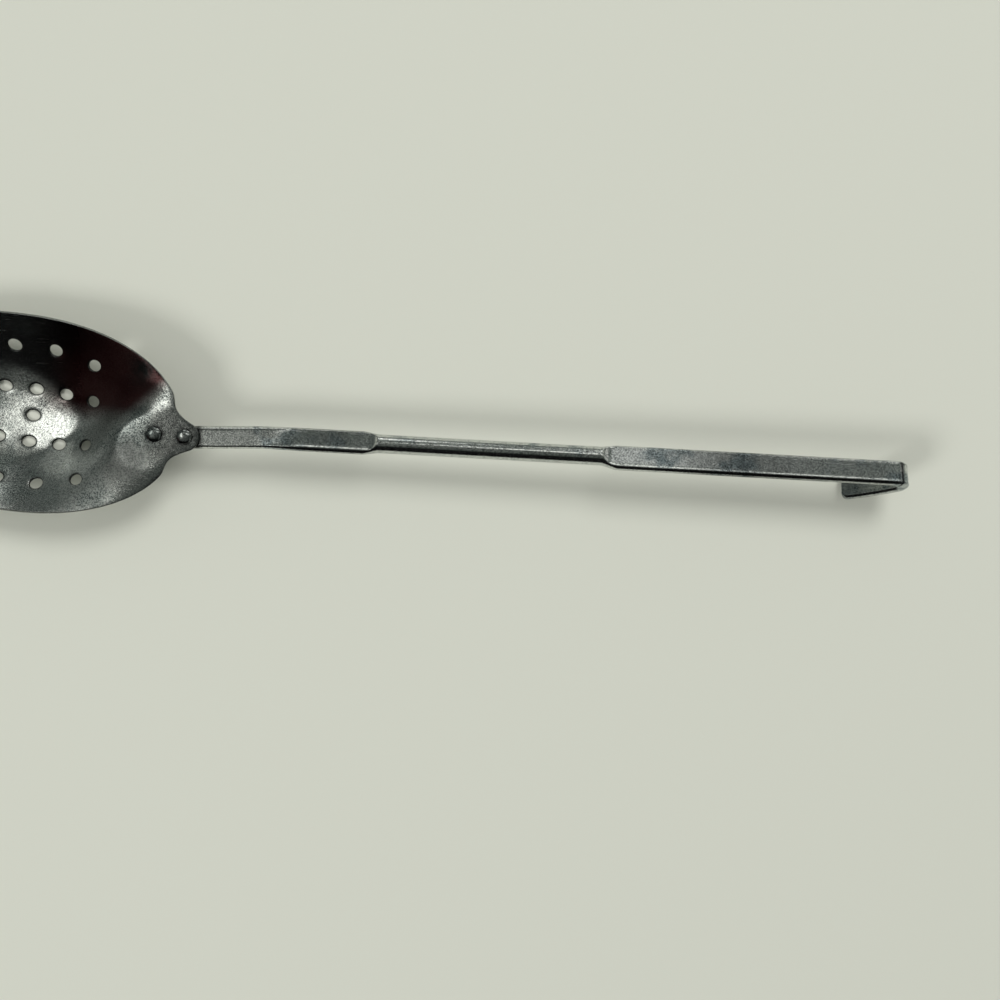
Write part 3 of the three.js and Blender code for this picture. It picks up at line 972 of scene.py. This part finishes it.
def table_top():
    mesh = bpy.data.meshes.new("table_top")
    corners = [
        (TABLE_HALF_SIZE * x, TABLE_HALF_SIZE * y, 0)
        for x, y in ((-1, -1), (1, -1), (1, 1), (-1, 1))
    ]
    mesh.from_pydata(corners, [], [(0, 1, 2, 3)])
    table = bpy.data.objects.new("table_top", mesh)
    bpy.context.scene.collection.objects.link(table)
    material = bpy.data.materials.new("pale_table")
    material.use_nodes = True
    shader = material.node_tree.nodes["Principled BSDF"]
    shader.inputs["Base Color"].default_value = (0.62, 0.63, 0.55, 1)
    shader.inputs["Roughness"].default_value = 0.75
    table.data.materials.append(material)


def area_light(name, place, size, power):
    """A round lamp that points at the origin and isn't mirrored in the metal."""
    light = bpy.data.lights.new(name, "AREA")
    light.shape = "DISK"
    light.size = size
    light.energy = power
    lamp = bpy.data.objects.new(name, light)
    lamp.location = place
    lamp.rotation_euler = (-Vector(place)).to_track_quat("-Z", "Y").to_euler()
    lamp.visible_glossy = False
    bpy.context.scene.collection.objects.link(lamp)


def glow(tree, direction, toward, inner, outer):
    """1 within an angle of a direction, fading to 0 at a wider one, both in degrees."""
    closeness = add_node(tree, "ShaderNodeVectorMath", {"operation": "DOT_PRODUCT"}, {
        0: direction, 1: Vector(toward).normalized(),
    }).outputs["Value"]
    return range_node(
        tree, closeness, math.cos(math.radians(outer)), math.cos(math.radians(inner)),
    )


def room():
    """Plain soft light, and the dark and bright sides of a room for the metal to mirror."""
    world = bpy.data.worlds.new("room")
    bpy.context.scene.world = world
    world.use_nodes = True
    tree = world.node_tree
    background = tree.nodes["Background"]
    direction = add_node(tree, "ShaderNodeTexCoord").outputs["Generated"]
    parts = add_node(tree, "ShaderNodeSeparateXYZ", None, {"Vector": direction})
    x, y, z = parts.outputs

    def climb(value, low, high):
        return range_node(tree, value, low, high)

    far_side = climb(y, 0.10, 0.50)
    overhead = climb(z, 0.80, 0.95)
    near_left = product(tree, climb(x, -0.3, -0.45), climb(y, -0.5, -0.35), climb(z, 0.0, 0.2))
    left_side = product(tree, climb(x, -0.35, -0.6), climb(y, -0.12, 0.04))
    right_side = product(tree, climb(x, 0.5, 0.65), climb(y, 0.3, 0.0))
    red = glow(tree, direction, (-0.89, -0.30, 0.33), 5, 18)
    zenith = glow(tree, direction, (-0.19, 0.04, 0.98), 2, 7)
    halo = product(tree, glow(tree, direction, (-0.55, 0.06, 0.83), 6, 30), 0.7)
    patch = glow(tree, direction, (-0.445, 0.066, 0.893), 3.6, 6.6)
    strip = product(
        tree, climb(y, 0.27, 0.33), climb(y, 0.45, 0.39), climb(x, 0.6, 0.35), climb(z, 0.3, 0.6),
    )
    near_bowl = product(tree, climb(x, -0.33, -0.30), climb(x, -0.22, -0.25))
    past_neck = climb(x, -0.12, -0.06)
    window = glow(tree, direction, (0.11, 0.64, 0.76), 3, 7)
    fold_light = glow(tree, direction, (-0.49, 0.23, 0.841), 3.6, 8)
    side_window = glow(tree, direction, (0.755, 0.53, 0.35), 6, 16)
    right_pane = climb(x, 0.08, 0.12)
    left_pane = product(tree, climb(x, -0.08, -0.12), climb(x, -0.40, -0.30))
    low_window = product(
        tree, climb(y, 0.76, 0.82), climb(y, 0.96, 0.92), climb(z, 0.10, 0.20),
        math_node(tree, "MAXIMUM", right_pane, left_pane),
    )

    mirrored = (0.003, 0.003, 0.003, 1)
    for share, color in (
        (far_side, (0.145, 0.165, 0.15, 1)),
        (overhead, (0.10, 0.11, 0.10, 1)),
        (near_left, (0.085, 0.09, 0.085, 1)),
        (left_side, (0.12, 0.135, 0.125, 1)),
        (right_side, (0.17, 0.185, 0.17, 1)),
        (red, (0.05, 0.02, 0.02, 1)),
        (zenith, (0.32, 0.33, 0.31, 1)),
        (halo, (0.22, 0.23, 0.21, 1)),
        (patch, (3.1, 3.1, 2.9, 1)),
        (product(tree, strip, near_bowl), (1.2, 1.2, 1.1, 1)),
        (product(tree, strip, past_neck), (1.9, 1.9, 1.8, 1)),
        (window, (0.85, 0.86, 0.84, 1)),
        (fold_light, (2.6, 2.6, 2.45, 1)),
        (side_window, (0.55, 0.55, 0.52, 1)),
        (low_window, (2.0, 2.0, 1.9, 1)),
    ):
        mirrored = mix_color(tree, share, mirrored, color)

    path = add_node(tree, "ShaderNodeLightPath")
    color = mix_color(tree, path.outputs["Is Glossy Ray"], (0.42, 0.43, 0.42, 1), mirrored)
    color = mix_color(tree, path.outputs["Is Camera Ray"], color, (0.62, 0.63, 0.57, 1))
    tree.links.new(color, background.inputs["Color"])
    background.inputs["Strength"].default_value = 1.0


def photo_camera():
    """Above the table where the photograph was taken, worked out from the place of the kink in it."""
    spread = (CAMERA_HEIGHT - AXIS_HEIGHT) / FOCAL_PIXELS
    seen_x = (KINK_PIXEL_X - FRAME_PIXELS / 2) * spread
    seen_y = (FRAME_PIXELS / 2 - KINK_PIXEL_Y) * spread
    offset_x = seen_x * math.cos(CAMERA_TURN) - seen_y * math.sin(CAMERA_TURN)
    offset_y = seen_x * math.sin(CAMERA_TURN) + seen_y * math.cos(CAMERA_TURN)
    camera = bpy.data.objects.new("photo_camera", bpy.data.cameras.new("photo_camera"))
    camera.location = Vector((kink_place.x - offset_x, kink_place.y - offset_y, CAMERA_HEIGHT)) * MM
    camera.rotation_euler = (0, 0, CAMERA_TURN)
    camera.data.sensor_width = SENSOR_WIDTH
    camera.data.lens = SENSOR_WIDTH * FOCAL_PIXELS / FRAME_PIXELS
    camera.data.clip_start = 0.01
    camera.data.clip_end = 20
    bpy.context.scene.collection.objects.link(camera)
    bpy.context.scene.camera = camera


photo_camera()
bpy.context.scene.view_settings.view_transform = "Standard"
table_top()
room()
area_light("top_lamp", place=(0.5, 1.0, 1.5), size=0.8, power=16)
area_light("left_lamp", place=(-1.0, -0.9, 1.2), size=0.6, power=12)

bowl_steel = worn_steel(
    "worn_bowl_steel", (0.62, 0.64, 0.62, 1), (0.50, 0.54, 0.52, 1),
    roughness=0.13, relief_depth=0.019,
)
handle_steel = worn_steel(
    "worn_handle_steel", (0.72, 0.74, 0.72, 1), (0.36, 0.42, 0.44, 1),
    roughness=0.12, relief_depth=0.012,
)
rivet_steel = worn_steel(
    "worn_rivet_steel", (0.42, 0.44, 0.43, 1), (0.30, 0.33, 0.32, 1),
    roughness=0.11, relief_depth=0.006,
)

give(bowl_piece(), bowl_steel)
give(handle_piece(), handle_steel)
for rivet in ("front_rivet", "rear_rivet"):
    give(rivet_piece(rivet), rivet_steel)
